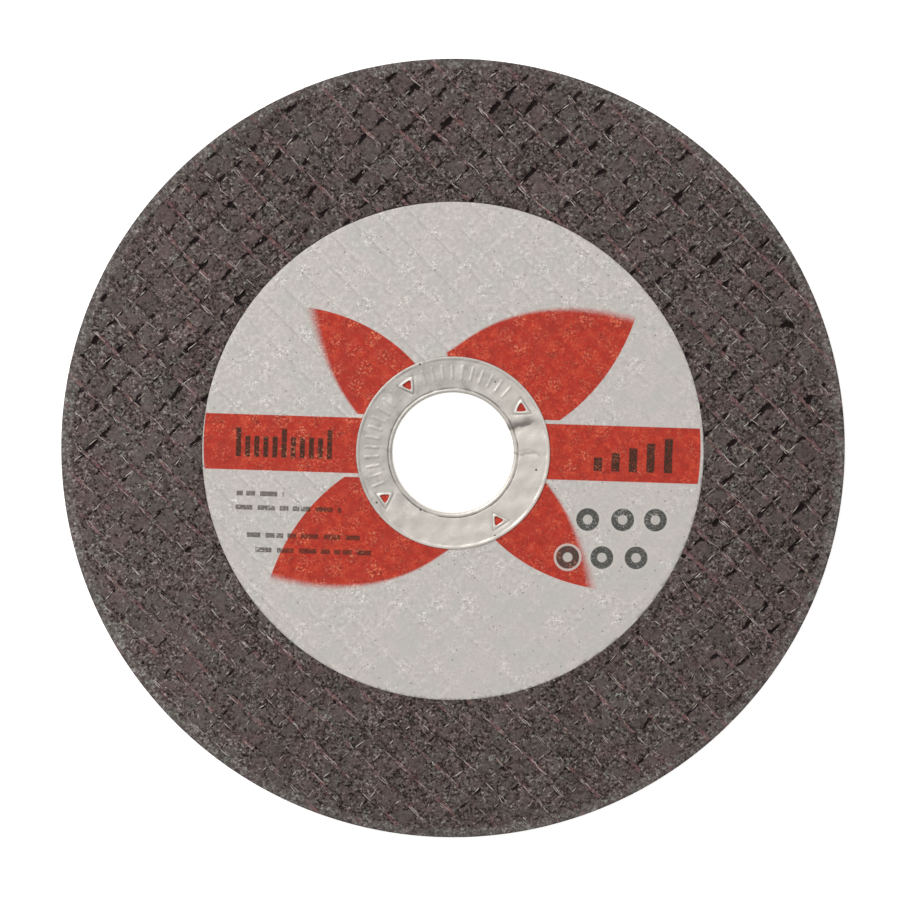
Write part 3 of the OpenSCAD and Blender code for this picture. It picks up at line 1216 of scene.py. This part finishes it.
# %% [markdown]
# Now the layers go over each other in the order in which they lie on the real label: paper, red, dark
# marks with their worn edges, and over all of them the painted glints, which are painted highlights, and
# the grit, which came last.

# %% Finish of the label: all layers
worn = at.noise(3.4, 3.0, 0.6).rise(0.36, 0.52)
printed = layered(
    paper,
    (red * 0.98, ink),
    (largest(*marks) * (0.65 + 0.33 * worn), srgb(54, 38, 26)),
    (largest(*spots) * (0.75 + 0.2 * worn), srgb(60, 62, 58)),
    (largest(*rings) * 0.85, srgb(198, 193, 187)),
    (glints * 0.85, red.mix(srgb(248, 244, 238), srgb(232, 140, 106))),
    (pepper * 0.7 * (1 - red), srgb(92, 84, 78)),
)
quilting = fibre * 0.4 + glints * 0.25 - hollow_shade * 0.3 + at.noise(2.0, 2.0) * (0.5 + cluster)
dress(label_finish, {
    "Base Color": printed,
    "Roughness": 0.55 + 0.2 * fibre - 0.2 * glints,
    "Specular IOR Level": 0.25,
    "Normal": bump(quilting, 0.5, 0.09),
})

# %% [markdown]
# The paper is its own closed sheet in the seat of the disc. It is flat where the ring presses on it,
# quilted by the threads elsewhere, and its cut edge is rolled down a little. The quilting is in the mesh,
# and not only in the finish, so that it shows from the side.

# %% The label
LABEL_MARKS = (-0.4, -0.2, 0.0, 0.2, 0.4, 0.85, 1.3, 1.75, 2.2)
QUILT_HALF = 0.4
CROSSING_SPREAD = 0.8
QUILT_SUNK = 0.045
LUMPS = 0.15
UNDER_RING = (0.1, 1.0)
ROLL_W = 0.45
ROLL_DOWN = 0.03


def build_label():
    """The quilted sheet, closed all round."""
    label = Skin()
    lines = stations(LABEL_MARKS, LABEL_R + GRID_MARGIN)
    along, across = np.meshgrid(lines, lines, indexing="ij")
    x, y = on_wheel(*drift(along, across))
    from_row = along - np.round(along / THREAD_PITCH) * THREAD_PITCH
    from_thread = across - np.round(across / THREAD_PITCH) * THREAD_PITCH
    quilt = 0.2 * bell(from_thread, 0.0, QUILT_HALF) + 0.12 * bell(from_row, 0.0, QUILT_HALF)
    quilt = quilt + 0.5 * np.exp(-(from_thread ** 2 + from_row ** 2) / CROSSING_SPREAD)
    lumps = front_weave.random.normal(0, LUMPS, quilt.shape)
    points, fields, faces = trim(x, y, {"quilt": quilt + lumps}, LABEL_HOLE_R, LABEL_R)
    r = np.hypot(*points.T)
    free = step_up(r, *(RING_R + out for out in UNDER_RING))
    rolled = step_up(r, LABEL_R - ROLL_W, LABEL_R)
    sink = free * QUILT_SUNK * (1 - np.clip(fields["quilt"], 0, 1)) + ROLL_DOWN * rolled
    top = label.add(np.column_stack([points, WHEEL_T - sink]), faces)
    label.zip_rows(
        label.edge(top, LABEL_R),
        label.circle(LABEL_R, SEAT_Z, ROUND_POINTS),
        label.circle(LABEL_HOLE_R, SEAT_Z, ROUND_POINTS),
        label.edge(top, LABEL_HOLE_R),
    )
    return label.piece("paper_label_sheet", label_finish)


label = build_label()
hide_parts("paper_label")

# %% [markdown]
# The ring is tin-plated sheet: bright, but with the soft grey sheen and fine scuffs of metal that went
# through a press. A metal shader with a varying roughness gives that. To shade the lips of the piercings,
# the finish needs to know how far the nearest one is. All four are alike, so the angle is folded into one
# quarter and the distance is worked out once.

# %% Finish of the ring: places
GROOVE_OUT = 0.27

tinplate, at = new_finish("tinplate")
ring_x, ring_y = at.part("X"), at.part("Y")
from_axis = (ring_x * ring_x + ring_y * ring_y) ** 0.5
ring_angle = ring_y.math("ARCTAN2", ring_x)


def angle_from(direction, whole):
    """Angle on the flange from a direction that repeats, from half a repeat back to half a repeat on."""
    return (ring_angle - direction + whole / 2).math("FLOORED_MODULO", whole) - whole / 2


turn = angle_from(PIERCING_ANGLE, 2 * math.pi / PIERCING_COUNT)
out = from_axis * turn.math("COSINE") - PIERCING_CIRCLE_R
aside = ((from_axis * turn.math("SINE")) ** 2.0 + 0.02) ** 0.5
to_hole = out.math("SMOOTH_MAX", aside * math.sin(math.pi / 3) - out * 0.5, 0.3) - PIERCING_INSIDE_R
print(f"ring: {PIERCING_COUNT} piercings on a circle of {2 * PIERCING_CIRCLE_R:.1f} mm")

# %% [markdown]
# The metal is painted a little darker towards the upper left, as painted shade. Over that lie clouds,
# scuffs and smudges, the painted shade beside two folds, painted shade in the groove by the bend and
# round the piercings, specks of dirt, and a painted highlight on each lip.

# %% Finish of the ring: metal
# Each shade: its direction in degrees, the mm between which it fades, and its weight
FOLD_SHADES = ((21.5, 0.1, 1.6, 0.8), (-1.0, 0.05, 0.4, 0.45))

cloud = at.noise(0.45, 3.0)
scuff = at.noise(7.0, 4.0, 0.7)
dirt = at.grains(0.7, out="Distance").fall(0.08, 0.13) * at.grains(0.7).part("X").rise(0.78, 0.80)
# Painted shade: darker in the groove by the bend and in a ring round each piercing's lip.
groove = abs(from_axis - FLANGE_START_R - GROOVE_OUT).fall(0.05, 0.13) * cloud.rise(0.25, 0.6)
crevice_shade = largest(groove, abs(to_hole - 0.34).fall(0.02, 0.14) * 0.5)
# Painted highlight: a bright line along the lip of each piercing.
lip_highlight = abs(to_hole - 0.12).fall(0.05, 0.17)
smudge = at.noise(0.9, 3.0, 0.6).rise(0.5, 0.68)
# Painted shade: the metal is made darker towards the upper left.
shaded_upper_left = (ring_y - ring_x + (cloud - 0.5) * 14).rise(-11.0, 13.0)
folds = []
for degrees, near, far, weight in FOLD_SHADES:
    beside = angle_from(math.radians(degrees), 2 * math.pi) * from_axis + (at.noise(0.7, 2.0) - 0.5) * 1.1
    fold_shade = beside.rise(-0.16, 0.08) * beside.fall(near, far) * from_axis.fall(RING_R - 2.4, RING_R - 0.4)
    folds.append((fold_shade * weight, srgb(120, 115, 110)))

metal = layered(
    shaded_upper_left.mix(srgb(225, 219, 212), srgb(200, 196, 190)),
    (cloud.rise(0.4, 0.7) * 0.3, srgb(226, 221, 214)),
    (scuff.rise(0.5, 0.8) * 0.35, srgb(178, 174, 169)),
    (smudge * (0.12 + 0.3 * shaded_upper_left), srgb(158, 153, 148)),
    *folds,
    (crevice_shade * 0.75, srgb(98, 92, 87)),
    (lip_highlight * 0.7, srgb(236, 231, 225)),
    (dirt * 0.85, srgb(60, 54, 50)),
)
dress(tinplate, {
    "Base Color": metal,
    "Roughness": 0.40 + 0.16 * cloud + 0.14 * scuff,
    "Metallic": 1.0,
    "Normal": bump(scuff + cloud * 2.5 + at.noise(1.6, 2.0) * 2.0, 0.2, 0.07),
})

# %% [markdown]
# The press left marks on the ring's flange: a lip round each three-cornered piercing, two arcs of raised
# ribs, creases where the sheet buckled, and slow waves. Each is a height over the flat flange, worked out
# from the place by its own function.

# %% Marks on the flange: one by one
PIERCING_TURNS = [PIERCING_ANGLE + k * 2 * math.pi / PIERCING_COUNT for k in range(PIERCING_COUNT)]
PIERCING_SIDES = np.radians((0, 120, 240))
CORNER_SOFTNESS = 0.26
# Each arc of ribs: its first and last direction in degrees
RIB_ARCS = ((49, 111), (135, 203))
RIB_STEP = 6.9
RIB_HEIGHT = 0.05
RIB_HALF = 0.17
RIB_REACH = (9.85, 11.95)
RIB_END = 0.2
# Each crease: its direction in degrees, and its height and width in mm
CREASES = ((21.5, 0.075, 0.34), (1.0, 0.045, 0.26), (-30.0, 0.025, 0.5), (228.0, 0.02, 0.5))
CREASE_BEND = 1.2
WAVE_SEED = 4
WAVE_COUNT = 14
WAVE_LONG = (1.2, 4.0)
WAVE_SLOPE = 0.0036


def to_piercing(x, y):
    """Distance to the nearest three-cornered piercing, less than 0 inside it, with rounded corners."""
    nearest = np.full(x.shape, FAR_AWAY)
    for turn in PIERCING_TURNS:
        out, side = turned(x, y, -turn)
        out = out - PIERCING_CIRCLE_R
        sides = [out * math.cos(a) + side * math.sin(a) - PIERCING_INSIDE_R for a in PIERCING_SIDES]
        highest = np.maximum.reduce(sides)
        rounding = sum(np.exp((s - highest) / CORNER_SOFTNESS) for s in sides)
        nearest = np.minimum(nearest, highest + CORNER_SOFTNESS * np.log(rounding))
    return nearest


def along_circle(degrees, r, middle):
    """How far places lie from a direction, measured along their own circle."""
    return np.radians((degrees - middle + 180) % 360 - 180) * r


def rib_height(degrees, r):
    """Short ribs that point outwards, in two arcs."""
    inner, outer = RIB_REACH
    length = step_up(r, inner, inner + RIB_END) * (1 - step_up(r, outer - RIB_END, outer))
    ribs = np.zeros(r.shape)
    for first, last in RIB_ARCS:
        for middle in np.linspace(first, last, round((last - first) / RIB_STEP) + 1):
            ribs = ribs + RIB_HEIGHT * np.exp(-(along_circle(degrees, r, middle) / RIB_HALF) ** 4)
    return ribs * length


def crease_height(degrees, r):
    """Creases: the sheet is high on one side of each and low on the other."""
    bend = CREASE_BEND * np.sin((r - FLANGE_START_R) * 1.1)
    fading = 1 - 0.6 * step_up(r, FLANGE_START_R + 1.0, RING_R)
    creases = np.zeros(r.shape)
    for middle, depth, width in CREASES:
        aside = along_circle(degrees - bend, r, middle)
        creases = creases + depth * np.tanh(aside / width) * bell(aside, 0.0, 3 * width)
    return creases * fading


def wave_height(x, y):
    """Seeded waves in all directions, the longer the higher."""
    waves = np.zeros(x.shape)
    low, high = (0, WAVE_LONG[0], 0), (math.pi, WAVE_LONG[1], ANY_PHASE)
    for way, long, start in np.random.default_rng(WAVE_SEED).uniform(low, high, (WAVE_COUNT, 3)):
        phase = (x * math.cos(way) + y * math.sin(way)) * 2 * math.pi / long + start
        waves = waves + WAVE_SLOPE * long * np.sin(phase)
    return waves


# %% [markdown]
# Together the marks may not rise past a little headroom over the solid, nor make the sheet too thin. The
# top is limited softly, so that no flat spots show. The bead at the edge and the groove by the bend run
# all the way round.

# %% Marks on the flange: all of them
FLANGE_DIP = 0.06
HEADROOM = 0.02
HEADROOM_SOFTNESS = 0.02
THINNEST_SHEET = 0.05
RIBS_FROM_PIERCING = 0.6
LIP_HEIGHT = 0.085
LIP_DIP = 0.03
BEAD_HEIGHT = 0.02
BEAD_IN = 0.24
GROOVE_DEPTH = 0.035


def flange_marks(x, y):
    """How far the upper side of the flange stands above flat."""
    r = np.hypot(x, y)
    degrees = np.degrees(np.arctan2(y, x)) % 360
    gap = to_piercing(x, y)
    lip = LIP_HEIGHT * bell(gap, 0.15, 0.11) - LIP_DIP * bell(gap, 0.45, 0.16)
    ribs = rib_height(degrees, r) * (gap > RIBS_FROM_PIERCING)
    marks = lip + ribs + crease_height(degrees, r) + wave_height(x, y)
    inside = step_up(r, FLANGE_START_R, FLANGE_START_R + 0.3) * (1 - step_up(r, RING_R - 0.5, RING_R - 0.3))
    bead = BEAD_HEIGHT * bell(r, RING_R - BEAD_IN, 0.12)
    groove = GROOVE_DEPTH * bell(r, FLANGE_START_R + GROOVE_OUT, 0.09)
    height = np.maximum((marks - FLANGE_DIP) * inside + bead - groove, THINNEST_SHEET - SHEET_T)
    return HEADROOM - HEADROOM_SOFTNESS * np.log1p(np.exp((HEADROOM - height) / HEADROOM_SOFTNESS))


# %% [markdown]
# The ring is a section turned round the bore: collar, bend, flange and rounded edge. The section is walked
# once round as a closed row of points, and turned in many small steps so that the marks come out sharp. A
# Screw modifier could turn it too, but the marks need the place of every point.

# %% The ring: section and turning
RING_STEPS = 800
FLANGE_ROWS = 52
BEND_STEPS = 8
PLAIN_STEPS = 4


def run(start, stop, steps):
    """A straight run of the section, as radius and height, without its last point."""
    return np.linspace(start, stop, steps + 1)[:-1]


def arc(middle_r, middle_z, reach, start, stop, steps):
    """A round stretch of the section, without its last point."""
    turn = np.linspace(start, stop, steps + 1)[:-1]
    return np.column_stack([middle_r + reach * np.cos(turn), middle_z + reach * np.sin(turn)])


def ring_section():
    """Radius and height round the ring's section, and which points lie on the flange's upper side."""
    bend_r, bend_z = FLANGE_START_R, WHEEL_T - BEND_INSIDE_R
    edge_r, top_z, collar_r = RING_R - SHEET_T / 2, WHEEL_T + SHEET_T, BORE_R + SHEET_T
    half = math.pi / 2
    flange = run((bend_r, top_z), (edge_r, top_z), FLANGE_ROWS)
    stretches = [
        run((BORE_R, THREAD_PROUD), (BORE_R, bend_z), PLAIN_STEPS),
        arc(bend_r, bend_z, BEND_INSIDE_R + SHEET_T, math.pi, half, BEND_STEPS),
        flange,
        arc(edge_r, WHEEL_T + SHEET_T / 2, SHEET_T / 2, half, -half, BEND_STEPS),
        run((edge_r, WHEEL_T), (bend_r, WHEEL_T), PLAIN_STEPS),
        arc(bend_r, bend_z, BEND_INSIDE_R, half, math.pi, BEND_STEPS // 2),
        run((collar_r, bend_z), (collar_r, THREAD_PROUD), PLAIN_STEPS),
        [(collar_r, THREAD_PROUD)],
    ]
    upper = np.concatenate([np.full(len(stretch), stretch is flange) for stretch in stretches])
    return *np.vstack(stretches).T, upper


def turned_ring():
    """The ring before its piercings are cut."""
    section_r, section_z, upper = ring_section()
    turn = np.linspace(0, 2 * math.pi, RING_STEPS, endpoint=False)
    x = np.cos(turn)[:, None] * section_r
    y = np.sin(turn)[:, None] * section_r
    z = section_z + flange_marks(x, y) * upper
    ids = np.arange(x.size).reshape(x.shape)
    right, above = np.roll(ids, -1, axis=1), np.roll(ids, -1, axis=0)
    corner = np.roll(above, -1, axis=1)
    ring = Skin()
    quads = np.stack([ids, right, corner, above], -1).reshape(-1, 4)
    ring.add(np.stack([x, y, z], -1).reshape(-1, 3), quads)
    return ring.piece("centre_ring_sheet", tinplate)


ring = turned_ring()

# %% [markdown]
# The piercings are cut by prisms with rounded corners, and the barbs that were bent down from their sides
# are joined on below. Both are exact booleans, because the cut has to leave a closed sheet with clean
# walls. The barbs are kept a hair off the faces that they meet, since booleans dislike faces in one plane.

# %% The ring: piercings and barbs
CORNER_R = 0.2
CORNER_POINTS = 7
OFF_PLANE = 0.01
CUT_BELOW = 0.1
CUT_ABOVE = 0.3


def placed(points, turn, z):
    """Points given from a piercing's middle, moved to where it is on the flange, at these heights."""
    x, y = turned(points[:, 0] + PIERCING_CIRCLE_R, points[:, 1], turn)
    return np.column_stack([x, y, np.broadcast_to(z, len(points))])


def add_block(skin, one, other):
    """Adds a closed block between two outlines that have as many points."""
    count = len(one)
    sides = [[k, (k + 1) % count, count + (k + 1) % count, count + k] for k in range(count)]
    skin.add(np.vstack([one, other]), [list(range(count))[::-1], list(range(count, 2 * count)), *sides])


def rounded_triangle():
    """Outline of a piercing with one corner towards the bore."""
    outline = []
    for corner in np.radians((180, 300, 60)):
        middle = 2 * (PIERCING_INSIDE_R - CORNER_R) * np.array([math.cos(corner), math.sin(corner)])
        for a in np.linspace(corner - math.pi / 3, corner + math.pi / 3, CORNER_POINTS):
            outline.append(middle + CORNER_R * np.array([math.cos(a), math.sin(a)]))
    return np.array(outline)


def add_barb(skin, turn, side):
    """One pointed barb, bent straight down from a side of a piercing."""
    out = np.array([math.cos(side), math.sin(side)])
    edge = np.array([-out[1], out[0]])
    aside = np.array([-0.5, -0.5, 0.0, 0.5, 0.5])[:, None] * BARB_BASE
    root, shoulder, low = WHEEL_T + SHEET_T / 2, WHEEL_T - OFF_PLANE, WHEEL_T - PIERCING_INSIDE_R
    feet = [out * (PIERCING_INSIDE_R + depth) for depth in (OFF_PLANE, SHEET_T)]
    heights = (root, shoulder, low, shoulder, root)
    add_block(skin, *(placed(foot + edge * aside, turn, heights) for foot in feet))


def combine(target, tool, operation):
    """Cuts or joins a closed tool into a closed piece, and removes the tool."""
    step = target.modifiers.new(operation, "BOOLEAN")
    step.operation = operation
    step.object = tool
    step.solver = "EXACT"
    seen = target.evaluated_get(bpy.context.evaluated_depsgraph_get())
    mesh = bpy.data.meshes.new_from_object(seen)
    target.modifiers.clear()
    old, target.data = target.data, mesh
    bpy.data.objects.remove(tool)
    bpy.data.meshes.remove(old)
    mesh.name = target.name


piercings, barbs = Skin(), Skin()
for turn in PIERCING_TURNS:
    low, high = WHEEL_T - CUT_BELOW, WHEEL_T + SHEET_T + CUT_ABOVE
    add_block(piercings, *(placed(rounded_triangle(), turn, z) for z in (low, high)))
    for side in PIERCING_SIDES:
        add_barb(barbs, turn, side)
combine(ring, piercings.piece("piercing_cutters", tinplate), "DIFFERENCE")
combine(ring, barbs.piece("barb_points", tinplate), "UNION")
settle(ring.data)
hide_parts("centre_ring")
